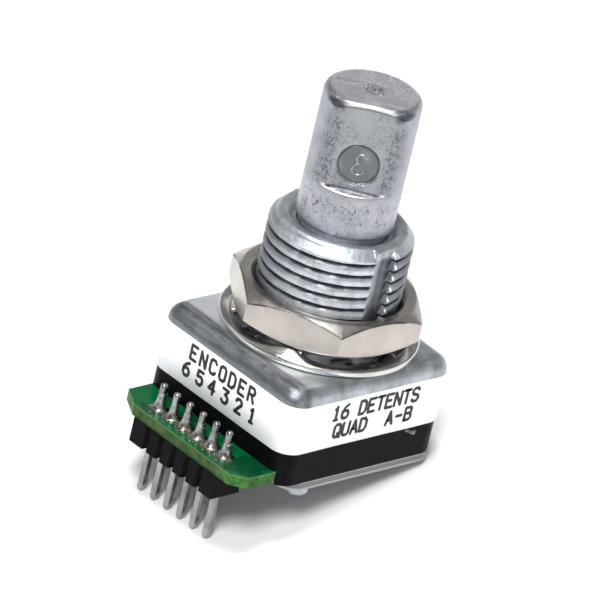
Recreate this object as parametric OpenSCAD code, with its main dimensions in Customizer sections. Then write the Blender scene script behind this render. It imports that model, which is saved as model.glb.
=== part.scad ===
// Panel-mount optical rotary encoder with push switch.
// Millimetres, +Z up along the shaft. Origin: shaft axis at the housing's top face.
// -Y is the terminal side, +X the side with the second line of printing.

/* [Housing] */
// width of the housing along X
body_w = 13.1; // [12.5:0.05:14]
// depth of the housing along Y
body_d = 13.8; // [13:0.05:15]
// Y of the housing's middle, the shaft axis being at 0
body_y = -0.63; // [-1:0.01:0]
// radius of the four upright corners
corner_r = 1.3; // [1.1:0.05:1.6]
// radius along the top edges of the zinc cap
edge_r = 0.95; // [0.6:0.05:1]
// depth of the zinc cap below the top face
cap_h = 3.2; // [3.1:0.05:3.3]
// height of the black lower housing
lower_h = 3.5; // [3.45:0.05:3.6]
// thickness of the stainless back plate
plate_t = 0.55; // [0.4:0.05:0.8]
// Y of the back plate's edge on the terminal side
plate_y0 = -6.45; // [-6.6:0.05:-6.3]

/* [Bushing and hardware] */
// outside diameter of the thread
thread_d = 9.4; // [9.3:0.01:9.5]
// thread pitch
thread_p = 0.794; // [0.75:0.001:0.85]
// depth of the thread form
thread_h = 0.43; // [0.3:0.01:0.48]
// height of the bushing above the top face
bush_h = 7.92; // [7:0.01:9]
// nut size across flats
nut_af = 11.4; // [11.1:0.1:12.7]
// nut thickness
nut_t = 2.3; // [2:0.05:2.5]
// height of the nut's underside, on the washer's teeth
nut_z = 1.0; // [0.95:0.05:1.2]
// outside diameter of the lockwasher
washer_d = 13; // [12.8:0.05:13.1]
// thickness of the lockwasher
washer_t = 0.46; // [0.4:0.02:0.5]

/* [Shaft] */
// shaft diameter
shaft_d = 6.35; // [6.3:0.01:6.35]
// height of the shaft end above the top face
shaft_top = 17.05; // [16:0.05:18]
// distance from the shaft axis to its flat
flat_r = 2.45; // [2.4:0.01:2.6]
// height where the flat ends
flat_z = 11.05; // [10:0.05:12]
// direction of the flat's normal, degrees from +X
flat_a = -46; // [-90:1:0]
// push travel
push_travel = 0.4; // [0.3:0.05:0.4]

/* [Terminals] */
// pitch of the six pins
pin_p = 1.27; // [1.25, 1.27]
// side of a square pin
pin_w = 0.46; // [0.4:0.02:0.5]
// Y of the pin row
pin_y = -9.25; // [-9.5:0.05:-9]
// lowest point of the pins
pin_z0 = -11.75; // [-12.5:0.05:-11]
// highest point of the pins
pin_z1 = -3.95; // [-4.2:0.05:-3.7]
// top surface of the circuit board
pcb_z = -5.8; // [-5.85:0.05:-5.75]
// board thickness
pcb_t = 0.76; // [0.6:0.02:0.79]
// half width of the board
pcb_x = 5.93; // [5.8:0.01:5.95]
// Y of the board's outer edge
pcb_y0 = -10.45; // [-11:0.05:-10]

/* [Code and detent] */
// detent positions in a turn
detents = 16; // [8, 12, 16]
// radius of the detent rotor
rotor_r = 3.5; // [3.4:0.05:3.55]
// detent ball diameter
ball_d = 1.2; // [1:0.05:1.25]
// windows in the code drum
windows = 4; // [3, 4, 5]

/* [Hidden] */
$fn = 96;
wall = 0.9;
bore_r = 3;
shaft_r = shaft_d / 2;
knob_r = shaft_r - 0.02; // the shaft narrows a little where it carries the flat
shaft_step = 7.975; // where the shaft leaves the bushing
top_round = 0.45; // rounding of the shaft's end
clip_groove_r = 2.55;
tongue_r = 1.7; // drive tongue that turns the detent rotor
tongue_half = 1.35;
mark_z = 12.92; // round cavity mark on the flat
mark_r = 1.3;
mark_ring = 0.06; // half width of the groove around the mark
journal_r = bore_r - 0.05;
seat_r = 3.235;
seat_z = 7.5;
thread_r = thread_d / 2;
crest_half = 0.13; // half the flat on a thread crest
root_half = 0.06; // half the flat in a thread root
cap_z = -cap_h;
low_z = cap_z - lower_h;
plate_z = low_z - plate_t;
pcb_b = pcb_z - pcb_t;
x1 = body_w / 2;
y0 = body_y - body_d / 2;
y1 = body_y + body_d / 2;
deck_z = -3.75;
pocket_r = 3.65;
ball_x = rotor_r + ball_d / 2 + 0.05;
notch_x = ball_x - 0.39;
ball_end = 5.95;
ball_z = -2.56;
hub_r = 2.5;
tip_z = -4.75;
clip_z = -1.35;
clip_t = 0.32;
label_t = 0.1;
label_z0 = -4.42;
label_z1 = -1.08;
header_y0 = -10.5;
header_y1 = -8.1;
header_x = 3.95;
header_z = -8.25;
notch_half = 0.16; // half width of the V notches between the header's blocks
posts = [[5.6, -4.8], [-5.6, -4.8], [x1 - corner_r, y1 - corner_r], [-x1 + corner_r, y1 - corner_r]];
post_r = 0.45;
head_r = 0.8;
head_h = 0.65;
nut_R = nut_af / sqrt(3);
window_a = 360 / windows;
// which piece to draw

// rounded rectangle between two corners
module rrect(ax, ay, bx, by, r) {
  translate([ax + r, ay]) square([bx - ax - 2 * r, by - ay]);
  translate([ax, ay + r]) square([bx - ax, by - ay - 2 * r]);
  for (x = [ax + r, bx - r], y = [ay + r, by - r]) translate([x, y]) circle(r);
}
module bar(x, y, z, a, b, c) { translate([x, y, z]) cube([a - x, b - y, c - z]); }

// outer skin of the zinc cap, top edges rounded
module cap_block() {
  translate([0, 0, cap_z]) linear_extrude(cap_h - edge_r) rrect(-x1, y0, x1, y1, corner_r);
  translate([0, 0, -edge_r - 0.01]) linear_extrude(edge_r + 0.01)
    rrect(-x1 + edge_r, y0 + edge_r, x1 - edge_r, y1 - edge_r, corner_r - edge_r);
  for (s = [-1, 1]) {
    translate([-x1 + corner_r, body_y + s * (body_d / 2 - edge_r), -edge_r]) rotate([0, 90, 0])
      cylinder(r = edge_r, h = body_w - 2 * corner_r);
    translate([s * (x1 - edge_r), y0 + corner_r, -edge_r]) rotate([-90, 0, 0])
      cylinder(r = edge_r, h = body_d - 2 * corner_r);
    for (t = [-1, 1])
      translate([s * (x1 - corner_r), body_y + t * (body_d / 2 - corner_r), -edge_r]) rotate_extrude()
        intersection() {
          union() {
            translate([0, -0.01]) square([corner_r - edge_r, edge_r + 0.01]);
            translate([corner_r - edge_r, 0]) circle(edge_r);
          }
          translate([0, -0.01]) square([corner_r, edge_r + 0.01]);
        }
  }
}
// threaded bushing: V rings of the thread's pitch
function thread_pts(n) = [for (i = [0:n - 1]) let (z = 0.55 + i * thread_p)
  each [[thread_r, z + crest_half], [thread_r - thread_h, z + thread_p / 2 - root_half],
    [thread_r - thread_h, z + thread_p / 2 + root_half], [thread_r, z + thread_p - crest_half]]];
module bushing() {
  rotate_extrude() polygon(concat([[bore_r, -1], [bore_r + 0.6, -1], [thread_r, -0.5]], thread_pts(8),
    [[thread_r, 7.3], [4.12, 7.9], [4.1, bush_h], [3.575, bush_h],
      [seat_r, seat_z + 0.04], [seat_r, seat_z], [bore_r, seat_z]]));
}
module housing_cap() {
  color([0.62, 0.64, 0.67]) {
    difference() {
      union() {
        difference() {
          cap_block();
          translate([0, 0, -10]) cylinder(r = bore_r + 0.3, h = 20);
          translate([0, 0, -10]) cylinder(r = pocket_r, h = 9);
          for (s = [-1, 1]) rotate([0, 0, s > 0 ? 0 : 180]) bar(3, -0.65, -10, ball_end, 0.65, -1.92);
        }
        bushing();
        for (p = posts) translate([p[0], p[1], plate_z - 0.001])
          cylinder(r = post_r, h = cap_z - plate_z + 0.6);
        for (p = posts) translate([p[0], p[1], plate_z - head_h]) {
          translate([0, 0, 0.2]) cylinder(r = head_r, h = head_h - 0.2);
          cylinder(r1 = head_r - 0.2, r2 = head_r, h = 0.2);
        }
      }
      // relief channels along both sides of the thread
      for (s = [0, 180]) rotate([0, 0, s - 5]) bar(thread_r - thread_h, -0.72, 0.4, 6, 0.72, 9);
    }
  }
}
module hex_nut() {
  color([0.78, 0.75, 0.7]) translate([0, 0, nut_z]) difference() {
    intersection() {
      rotate([0, 0, -33.5]) cylinder(r = nut_R, h = nut_t, $fn = 6);
      cylinder(r1 = nut_af / 2, r2 = nut_af / 2 + 4 * sqrt(3), h = 4);
      translate([0, 0, nut_t - 4]) cylinder(r1 = nut_af / 2 + 4 * sqrt(3), r2 = nut_af / 2, h = 4);
    }
    translate([0, 0, -1]) cylinder(r = thread_r + 0.05, h = 5);
    translate([0, 0, nut_t - 0.3]) cylinder(r1 = thread_r + 0.05, r2 = thread_r + 0.35, h = 0.3001);
    translate([0, 0, -0.0001]) cylinder(r1 = thread_r + 0.35, r2 = thread_r + 0.05, h = 0.3);
  }
}
module lockwasher() {
  color([0.72, 0.73, 0.74]) {
    difference() {
      union() {
        cylinder(r = washer_d / 2, h = washer_t - 0.1);
        translate([0, 0, washer_t - 0.1]) cylinder(r1 = washer_d / 2, r2 = washer_d / 2 - 0.1, h = 0.1);
      }
      translate([0, 0, -1]) cylinder(r = washer_d / 2 - 0.85, h = 3);
    }
    intersection() {
      // ten twisted teeth
      for (i = [0:9]) rotate([0, 0, -62 + 36 * i]) translate([5.3, 0, 0.48]) rotate([24, 0, 0])
        cube([1.1, 1.5, 0.3], center = true);
      difference() {
        translate([0, 0, 0.02]) cylinder(r = 5.8, h = 0.97);
        translate([0, 0, -1]) cylinder(r = 4.86, h = 4);
      }
    }
  }
}
module shaft() {
  color([0.68, 0.7, 0.73]) difference() {
    union() {
      rotate_extrude() {
        polygon([[0, clip_z - 0.15], [journal_r, clip_z - 0.15],
          [journal_r, clip_z - 0.01], [clip_groove_r, clip_z - 0.01],
          [clip_groove_r, clip_z + clip_t + 0.01], [journal_r, clip_z + clip_t + 0.01],
          [journal_r, shaft_step], [shaft_r, shaft_step], [shaft_r, flat_z + 0.05], [knob_r, flat_z + 0.2],
          [knob_r, shaft_top - top_round], [knob_r - top_round, shaft_top], [0, shaft_top]]);
        translate([knob_r - top_round, shaft_top - top_round])
          intersection() { circle(top_round, $fn = 48); square(0.5); }
      }
      intersection() {
        translate([0, 0, tip_z]) cylinder(r = tongue_r, h = clip_z - tip_z);
        bar(-3, -tongue_half, -6, 3, tongue_half, 0);
      }
    }
    rotate([0, 0, flat_a]) {
      bar(flat_r, -4, flat_z, 5, 4, 20);
      // round insert mark, its rim and the recessed disc
      translate([flat_r - 0.07, 0, mark_z]) rotate([0, 90, 0]) difference() {
        cylinder(r = mark_r + mark_ring, h = 1, $fn = 64);
        translate([0, 0, -1]) cylinder(r = mark_r - mark_ring, h = 3, $fn = 64);
      }
      translate([flat_r - 0.03, 0, mark_z]) rotate([0, 90, 0]) cylinder(r = mark_r, h = 1, $fn = 64);
    }
    translate([0, 0, tip_z - 1]) cylinder(r = 0.9, h = 2.6);
  }
}
// open spring ring in the shaft's groove, under the bushing
module retaining_clip() {
  color([0.55, 0.56, 0.58]) translate([0, 0, clip_z]) difference() {
    cylinder(r = 3.45, h = clip_t);
    translate([0, 0, -1]) cylinder(r = 2.56, h = 3);
    bar(-1.5, -4, -1, 1.5, 0, 3);
  }
}
// printed wrap, open by a small gap at the corner between -X and -Y
module label() {
  color([0.95, 0.95, 0.94]) difference() {
    translate([0, 0, label_z0]) linear_extrude(label_z1 - label_z0) difference() {
      rrect(-x1 - label_t, y0 - label_t, x1 + label_t, y1 + label_t, corner_r + label_t);
      rrect(-x1, y0, x1, y1, corner_r);
    }
    translate([-x1 + corner_r, y0 + corner_r, -10]) rotate([0, 0, -139]) bar(0, -0.35, 0, 3, 0.0, 20);
  }
}
module lower_housing() {
  color([0.07, 0.07, 0.08]) difference() {
    union() {
      difference() {
        translate([0, 0, low_z]) linear_extrude(lower_h) rrect(-x1, y0, x1, y1, corner_r);
        translate([0, 0, pcb_z - 0.05]) linear_extrude(deck_z - pcb_z + 0.05)
          rrect(-x1 + wall, y0 + wall, x1 - wall, y1 - wall, 0.4);
      }
      for (p = posts) translate([p[0], p[1], pcb_z]) cylinder(r = 0.9, h = deck_z - pcb_z + 0.1);
    }
    bar(-pcb_x - 0.05, y0 - 1, low_z - 1, pcb_x + 0.05, y1 - 0.85, pcb_z);
    translate([0, 0, deck_z - 1]) cylinder(r = hub_r + 0.05, h = 3);
    for (p = posts) translate([p[0], p[1], low_z - 1]) cylinder(r = post_r + 0.04, h = 8);
  }
}
module back_plate() {
  color([0.74, 0.74, 0.73]) translate([0, 0, plate_z]) difference() {
    linear_extrude(plate_t) rrect(-x1, plate_y0, x1, y1, corner_r);
    for (p = posts) translate([p[0], p[1], -1]) cylinder(r = post_r + 0.04, h = 3);
  }
}
// film between the board and the back plate
module insulator() {
  color([0.85, 0.62, 0.2]) translate([0, 0, low_z + 0.005]) difference() {
    linear_extrude(pcb_b - low_z - 0.01) rrect(-pcb_x + 0.1, plate_y0 + 0.1, pcb_x - 0.1, y1 - 1, 0.5);
    for (p = posts) translate([p[0], p[1], -1]) cylinder(r = post_r + 0.1, h = 3);
  }
}
module terminal_pcb() {
  color([0.05, 0.42, 0.25]) translate([0, 0, pcb_b]) difference() {
    linear_extrude(pcb_t) polygon([[-pcb_x, y1 - 0.95], [-pcb_x, pcb_y0 + 1], [-pcb_x + 1.72, pcb_y0],
      [pcb_x - 0.9, pcb_y0], [pcb_x, pcb_y0 + 0.8], [pcb_x, y1 - 0.95]]);
    for (p = posts) translate([p[0], p[1], -1]) cylinder(r = post_r + 0.06, h = 3);
    for (i = [0:5]) translate([(i - 2.5) * pin_p, pin_y, -1]) cylinder(r = 0.4, h = 3);
  }
}
module header_body() {
  color([0.06, 0.06, 0.065]) difference() {
    bar(-header_x, header_y0, header_z, header_x, header_y1, pcb_b);
    for (i = [0:4]) translate([(i - 2) * pin_p, 0, 0]) {
      for (y = [header_y0, header_y1]) translate([0, y, header_z - 1]) rotate([0, 0, 45])
        translate([-notch_half, -notch_half, 0]) cube([2 * notch_half, 2 * notch_half, 5]);
      bar(-0.17, header_y0 - 1, header_z - 1, 0.17, header_y1 + 1, header_z + 0.25);
    }
    for (i = [0:5]) translate([(i - 2.5) * pin_p, pin_y, 0])
      bar(-pin_w / 2, -pin_w / 2, header_z - 1, pin_w / 2, pin_w / 2, 0);
  }
}
// side view of a pin: point below, blunt end above
module pin_outline() {
  a = pin_w / 2;
  polygon([[-a * 0.55, pin_z0], [a * 0.55, pin_z0], [a, pin_z0 + 0.25], [a, pin_z1 - 0.12],
    [a * 0.7, pin_z1], [-a * 0.7, pin_z1], [-a, pin_z1 - 0.12], [-a, pin_z0 + 0.25]]);
}
// square header pin with tapered ends, numbered from +X
module pin(i) {
  color([0.8, 0.8, 0.79]) translate([(3.5 - i) * pin_p, pin_y, 0]) intersection() {
    rotate([90, 0, 0]) translate([0, 0, -pin_w]) linear_extrude(2 * pin_w) pin_outline();
    rotate([90, 0, 90]) translate([0, 0, -pin_w]) linear_extrude(2 * pin_w) pin_outline();
  }
}
module pin_1() { pin(1); }
module pin_2() { pin(2); }
module pin_3() { pin(3); }
module pin_4() { pin(4); }
module pin_5() { pin(5); }
module pin_6() { pin(6); }
module solder(i) {
  color([0.7, 0.71, 0.7]) translate([(3.5 - i) * pin_p, pin_y, 0]) difference() {
    union() {
      translate([0, 0, pcb_z]) cylinder(r1 = 0.55, r2 = 0.38, h = 0.5);
      translate([0, 0, pcb_z + 0.5]) cylinder(r1 = 0.38, r2 = 0.33, h = 0.55);
      translate([0, 0, pcb_b + 0.01]) cylinder(r = 0.39, h = pcb_t);
    }
    bar(-pin_w / 2, -pin_w / 2, -12, pin_w / 2, pin_w / 2, 0);
  }
}
module solder_1() { solder(1); }
module solder_2() { solder(2); }
module solder_3() { solder(3); }
module solder_4() { solder(4); }
module solder_5() { solder(5); }
module solder_6() { solder(6); }
module detent_rotor() {
  color([0.9, 0.88, 0.82]) difference() {
    union() {
      translate([0, 0, cap_z + 0.05]) cylinder(r = rotor_r, h = 1.2);
      translate([0, 0, -4.6]) cylinder(r = hub_r, h = 1.5);
    }
    for (i = [0:detents - 1]) rotate([0, 0, i * 360 / detents]) translate([notch_x, 0, -6])
      cylinder(r = ball_d / 2 + 0.03, h = 6, $fn = 32);
    intersection() {
      translate([0, 0, -6]) cylinder(r = 1.75, h = 6);
      bar(-3, -1.4, -7, 3, 1.4, 0);
    }
  }
}
module detent_ball_a() { color([0.75, 0.75, 0.77]) translate([ball_x, 0, ball_z]) sphere(d = ball_d); }
module detent_ball_b() { color([0.75, 0.75, 0.77]) translate([-ball_x, 0, ball_z]) sphere(d = ball_d); }
module coil() {
  translate([ball_x + ball_d / 2 + 0.02, 0, ball_z]) rotate([0, 90, 0])
    linear_extrude(height = ball_end - ball_x - ball_d / 2 - 0.03,
      twist = -1440, slices = 64, convexity = 8, $fn = 8) translate([0.42, 0]) circle(r = 0.09, $fn = 8);
}
module detent_spring_a() { color([0.6, 0.6, 0.62]) coil(); }
module detent_spring_b() { color([0.6, 0.6, 0.62]) rotate([0, 0, 180]) coil(); }
module code_rotor() {
  color([0.12, 0.12, 0.13]) difference() {
    union() {
      translate([0, 0, -4.3]) cylinder(r = 4.35, h = 0.45);
      translate([0, 0, -4.55]) cylinder(r = 2.9, h = 0.7);
      difference() {
        translate([0, 0, -5.4]) cylinder(r = 4.35, h = 1.2);
        translate([0, 0, -6]) cylinder(r = 3.85, h = 3);
        for (i = [0:windows - 1]) rotate([0, 0, (i + 0.25) * window_a])
          translate([0, 0, -6]) linear_extrude(1.4) polygon([[0, 0], [6, 0],
            7 * [cos(window_a / 4), sin(window_a / 4)], 6 * [cos(window_a / 2), sin(window_a / 2)]]);
      }
    }
    translate([0, 0, -6]) cylinder(r = hub_r - 0.01, h = 3);
  }
}
module emitter() {
  color([0.25, 0.2, 0.45]) difference() {
    union() {
      bar(-0.75, -3.4, pcb_z, 0.75, -2.45, -4.8);
      translate([0, -3.4, -5.25]) rotate([90, 0, 0]) cylinder(r = 0.35, h = 0.15, $fn = 48);
    }
    for (s = [-1, 1]) bar(s * 0.75 - 0.12, -3.5, pcb_z - 1, s * 0.75 + 0.12, -2.3, pcb_z + 0.2);
  }
}
module detector(s) {
  color([0.1, 0.1, 0.14]) rotate([0, 0, s * window_a / 8]) difference() {
    union() {
      bar(-0.72, -5.6, pcb_z, 0.72, -4.75, -4.75);
      translate([0, -4.6, -5.25]) rotate([90, 0, 0]) cylinder(r = 0.32, h = 0.2, $fn = 48);
    }
    for (t = [-1, 1]) bar(t * 0.72 - 0.12, -6, pcb_z - 1, t * 0.72 + 0.12, -4, pcb_z + 0.2);
  }
}
module detector_a() { detector(1); }
module detector_b() { detector(-1); }
module resistor(s) {
  color([0.2, 0.2, 0.22]) {
    bar(s * 3 - 0.5, -6.42, pcb_z, s * 3 + 0.5, -5.82, pcb_z + 0.38);
    for (t = [-1, 1]) bar(s * 3 + t * 0.5 - 0.14, -6.43, pcb_z, s * 3 + t * 0.5 + 0.14, -5.81, pcb_z + 0.4);
  }
}
module resistor_a() { resistor(-1); }
module resistor_b() { resistor(1); }
module push_tip() {
  color([0.92, 0.9, 0.85]) rotate_extrude() polygon([[0, -5.33], [0.4, -5.33], [0.5, -5.2], [1.4, -5.2],
    [1.5, -5.1], [1.5, tip_z - 0.01], [0.85, tip_z - 0.01], [0.85, -3.35], [0.7, -3.2], [0, -3.2]]);
}
module dome() {
  color([0.8, 0.8, 0.8]) rotate_extrude() polygon(concat(
    [for (i = [0:8]) [i / 8 * 2, pcb_z + 0.07 + 0.38 * (1 - pow(i / 8, 2))]],
    [[2, pcb_z + 0.005]],
    [for (i = [7:-1:0]) [i / 8 * 2, pcb_z + 0.005 + 0.375 * (1 - pow(i / 8, 2))]]));
}

housing_cap();
hex_nut();
lockwasher();
shaft();
retaining_clip();
label();
lower_housing();
back_plate();
insulator();
terminal_pcb();
header_body();
pin_1();
pin_2();
pin_3();
pin_4();
pin_5();
pin_6();
solder_1();
solder_2();
solder_3();
solder_4();
solder_5();
solder_6();
detent_rotor();
detent_ball_a();
detent_ball_b();
detent_spring_a();
detent_spring_b();
code_rotor();
emitter();
detector_a();
detector_b();
resistor_a();
resistor_b();
push_tip();
dome();
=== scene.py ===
"""Looks for a panel-mount rotary encoder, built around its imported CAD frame.

Shapes are worked out in millimetres in the row frame: Z up the shaft, the zinc cap's top face at
z = 0, -Y the terminal side. They become metres where a mesh is made. Angles are in degrees from +X.
"""

import math

import bmesh
import bpy
import numpy as np
from mathutils import Matrix, Vector


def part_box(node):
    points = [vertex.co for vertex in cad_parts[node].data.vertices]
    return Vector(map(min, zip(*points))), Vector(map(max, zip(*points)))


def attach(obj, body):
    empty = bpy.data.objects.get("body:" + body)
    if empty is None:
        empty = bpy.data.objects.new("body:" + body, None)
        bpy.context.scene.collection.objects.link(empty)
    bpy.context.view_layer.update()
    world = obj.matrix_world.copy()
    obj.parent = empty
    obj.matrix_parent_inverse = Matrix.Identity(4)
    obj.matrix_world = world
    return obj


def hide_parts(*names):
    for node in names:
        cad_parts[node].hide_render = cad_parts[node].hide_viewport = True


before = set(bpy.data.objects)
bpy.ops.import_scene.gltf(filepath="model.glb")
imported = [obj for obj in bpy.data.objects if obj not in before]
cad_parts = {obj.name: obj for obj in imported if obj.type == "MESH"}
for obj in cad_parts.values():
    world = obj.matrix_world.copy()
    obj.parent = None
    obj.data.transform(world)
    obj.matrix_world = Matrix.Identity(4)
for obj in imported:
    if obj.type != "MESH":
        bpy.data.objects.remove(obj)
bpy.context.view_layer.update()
MM = 0.001


def box_mm(cad_node):
    """Lowest and highest corner of a CAD node, in millimetres."""
    low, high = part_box(cad_node)
    return [c / MM for c in low], [c / MM for c in high]


# ---------------- sizes: from the frame where a box gives them

LOWER_LOW, LOWER_HIGH = box_mm("lower_housing")
LABEL_LOW, LABEL_HIGH = box_mm("label")
NUT_LOW, NUT_HIGH = box_mm("hex_nut")
WASHER_R = box_mm("lockwasher")[1][0]
CAP_LOW, CAP_HIGH = box_mm("housing_cap")
SHAFT_LOW, SHAFT_HIGH = box_mm("shaft")
PCB_LOW, PCB_HIGH = box_mm("terminal_pcb")
PLATE_LOW, PLATE_HIGH = box_mm("back_plate")

BODY_X = LOWER_HIGH[0]
BODY_Y0, BODY_Y1 = LOWER_LOW[1], LOWER_HIGH[1]
CAP_Z = LOWER_HIGH[2]
CORNER_R = 1.3
EDGE_R = 0.95

CREST_R = 4.7
ROOT_R = 4.28
PITCH = 0.794
GROOVE_Z = 4.68          # height of one groove's middle at angle 0
THREAD_TOP = 7.3
RIM_Z = CAP_HIGH[2]
BORE_R = 3.0
COLLAR_BORE_R = 3.235    # wider mouth of the bore, where the shaft's collar sits
COLLAR_BORE_Z = 7.5
POCKET_R = 3.65          # round pocket under the cap, for the detent rotor
POCKET_Z = -1.0
SLOT_Z = -1.92           # roof of the two slots beside the pocket
SLOT_HALF = 0.65
SLOT_END = 5.95
CHANNEL_ANGLE = -5.0     # relief channels run down both sides of the thread
CHANNEL_HALF = 9.2
NUT_AF = 11.4
NUT_TURN = -33.5
WASHER_T = 0.46
RING_WIDTH = 0.85
TEETH = 10
TOOTH_TURN = -62.0
SQUARENESS = 0.35        # power that makes a tooth's section nearly a rectangle

SHAFT_R = 3.175
SHAFT_TOP = SHAFT_HIGH[2]
NECK_R = 2.95            # where the shaft runs in the bushing
ROUND_END = -1.5         # below it the shaft is the narrow drive
CLIP_R, CLIP_LOW, CLIP_TOP = 2.55, -1.36, -1.02
COLLAR_Z = 7.975
FILLET = 0.55
FLAT_R = 2.45
FLAT_Z = 11.05
FLAT_ANGLE = -46.0
MARK_Z = 12.92
MARK_R = 1.3
DENTS = ((-2.1, 16.6, 0.2), (2.05, 16.6, 0.26))     # aside, z and depth of the hollows at the flat's corners


# ---------------- mesh helpers

def polar(radius, degrees, z):
    """Points at a radius and angle, as an array of x, y, z."""
    a = np.radians(degrees)
    radius, a, z = np.broadcast_arrays(radius, a, z)
    return np.stack([radius * np.cos(a), radius * np.sin(a), z], -1)


def smooth_step(edge0, edge1, x):
    t = np.clip((np.asarray(x, float) - edge0) / (edge1 - edge0), 0, 1)
    return t * t * (3 - 2 * t)


def ripple(points, size, seed, waves=7):
    """Smooth irregularity from -1 to 1 whose bumps are about size millimetres across."""
    rng = np.random.default_rng(seed)
    total = 0
    for _ in range(waves):
        direction = rng.normal(size=3)
        direction /= np.linalg.norm(direction)
        wave = 2 * math.pi / (size * rng.uniform(0.8, 2.2))
        total = total + np.sin(points @ direction * wave + rng.uniform(0, 6.28))
    return total / waves ** 0.5 / 1.6


def added(name, data):
    """A new object in the scene."""
    made = bpy.data.objects.new(name, data)
    bpy.context.scene.collection.objects.link(made)
    return made


def make_object(name, verts, faces, material, body, sharp=35):
    """A mesh piece in millimetres that rides on a CAD body."""
    mesh = bpy.data.meshes.new(name)
    mesh.from_pydata((np.asarray(verts, float) * MM).tolist(), [], faces)
    mesh.validate()
    shell = bmesh.new()
    shell.from_mesh(mesh)
    bmesh.ops.remove_doubles(shell, verts=shell.verts, dist=1e-8)
    bmesh.ops.recalc_face_normals(shell, faces=shell.faces)
    shell.to_mesh(mesh)
    shell.free()
    mesh.shade_smooth()
    mesh.set_sharp_from_angle(angle=math.radians(sharp))
    mesh.materials.append(material)
    piece = added(name, mesh)
    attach(piece, body)
    return piece


def loft(rows, ring=False):
    """Vertices and faces through rows of points, each row a closed loop.

    A ring joins its last row to the first. Anything else is closed by a fan at each end.
    """
    rows = np.asarray(rows, float)
    n_rows, n_cols = rows.shape[:2]
    verts = rows.reshape(-1, 3).tolist()
    faces = []
    for r in range(n_rows if ring else n_rows - 1):
        a, b = r * n_cols, (r + 1) % n_rows * n_cols
        for c in range(n_cols):
            d = (c + 1) % n_cols
            faces.append((a + c, a + d, b + d, b + c))
    if not ring:
        for row, step in ((0, -1), (n_rows - 1, 1)):
            centre = len(verts)
            verts.append(rows[row].mean(0).tolist())
            base = row * n_cols
            for c in range(n_cols):
                pair = (base + c, base + (c + 1) % n_cols)
                faces.append((centre,) + pair[::step])
    return verts, faces


def joined(*parts):
    """Several vertex and face lists as one."""
    verts, faces = [], []
    for v, f in parts:
        start = len(verts)
        verts += [list(p) for p in v]
        faces += [tuple(i + start for i in face) for face in f]
    return verts, faces


def turned(profile, at, columns=32, wobble=0.0, seed=0):
    """A solid of revolution from (radius, z) pairs, low end to high end, about a vertical line."""
    angles, axis = np.arange(columns) * 360 / columns, np.array([*at, 0])
    rows = np.array([polar(max(r, 1e-3), angles, z) for r, z in profile]) + axis
    if wobble:
        radial = (rows - axis) * np.array([1, 1, 0])
        rows = rows + radial * (wobble * ripple(rows, 0.5, seed))[..., None]
    return loft(rows)


def swept(profiles, degrees):
    """Rows of points from profiles given as corner, column and (radius, z)."""
    return [polar(p[:, 0], degrees, p[:, 1]) for p in profiles]


def rounded_profile(points, radius, steps):
    """Rounds every corner of closed profiles, given as an array of corner, column and (radius, z)."""
    points = np.asarray(points, float)
    rows = []
    for i in range(len(points)):
        before, here, after = points[i - 1], points[i], points[(i + 1) % len(points)]
        ends = []
        for other in (before, after):
            gap = np.linalg.norm(other - here, axis=-1, keepdims=True)
            reach = np.minimum(radius, gap * 0.45)
            ends.append(here + (other - here) / np.maximum(gap, 1e-9) * reach)
        for k in range(steps + 1):
            t = k / steps
            rows.append((1 - t) ** 2 * ends[0] + 2 * t * (1 - t) * here + t ** 2 * ends[1])
    return np.array(rows)


# ---------------- zinc housing cap and bushing

def outline_radius(degrees, inset=0.0):
    """Distance from the shaft axis to the housing's rounded outline, along each angle."""
    a = np.radians(degrees)
    c, s = np.abs(np.cos(a)), np.abs(np.sin(a))
    corner = max(CORNER_R - inset, 0.05)
    half_x = BODY_X - inset
    half_y = np.where(np.sin(a) > 0, BODY_Y1 - inset, -(BODY_Y0 + inset))
    reach = np.minimum(half_x / np.maximum(c, 1e-9), half_y / np.maximum(s, 1e-9))
    centre_x, centre_y = half_x - corner, half_y - corner
    in_corner = (reach * c > centre_x) & (reach * s > centre_y)
    along = centre_x * c + centre_y * s
    aside = centre_x ** 2 + centre_y ** 2 - along ** 2
    return np.where(in_corner, along + np.sqrt(np.maximum(corner ** 2 - aside, 0)), reach)


def thread_cut(degrees, z):
    """0 on a worn crest of the right-handed thread, 1 in its groove."""
    turn = (z - GROOVE_Z) / PITCH - degrees / 360
    off = turn - np.round(turn)
    return np.maximum(smooth_step(0.2, 0.07, np.abs(off)), 0.22 * smooth_step(-0.5, -0.1, off) * (off < 0))


def bushing_radius(degrees, z):
    """Outside of the bushing: thread, top chamfer and the two relief channels."""
    r = CREST_R - (CREST_R - ROOT_R) * thread_cut(degrees, z) * smooth_step(0.35, 0.6, z)
    r = np.minimum(r, CREST_R - max(z - THREAD_TOP, 0) * 0.97)
    across = (degrees - CHANNEL_ANGLE + 90) % 180 - 90
    shallow = CREST_R - 0.1
    floor = shallow - (shallow - ROOT_R) * smooth_step(-CHANNEL_HALF, 0.35 * CHANNEL_HALF, across)
    phase = (z - GROOVE_Z) / PITCH % 1
    half = CHANNEL_HALF - 0.5 + 4.5 * phase * (across > 0)
    soft = np.where(across > 0, 0.6, 1.4)
    in_channel = smooth_step(half + soft, half - soft, np.abs(across)) * smooth_step(0.05, 0.5, z)
    return r + (floor - r) * in_channel


def slot_radius(degrees):
    """Pocket under the cap with the two slots that hold the detent balls and springs."""
    a = np.radians(degrees)
    end = SLOT_END / np.maximum(np.abs(np.cos(a)), 1e-9)
    side = SLOT_HALF / np.maximum(np.abs(np.sin(a)), 1e-9)
    return np.maximum(POCKET_R, np.minimum(end, side))


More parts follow.
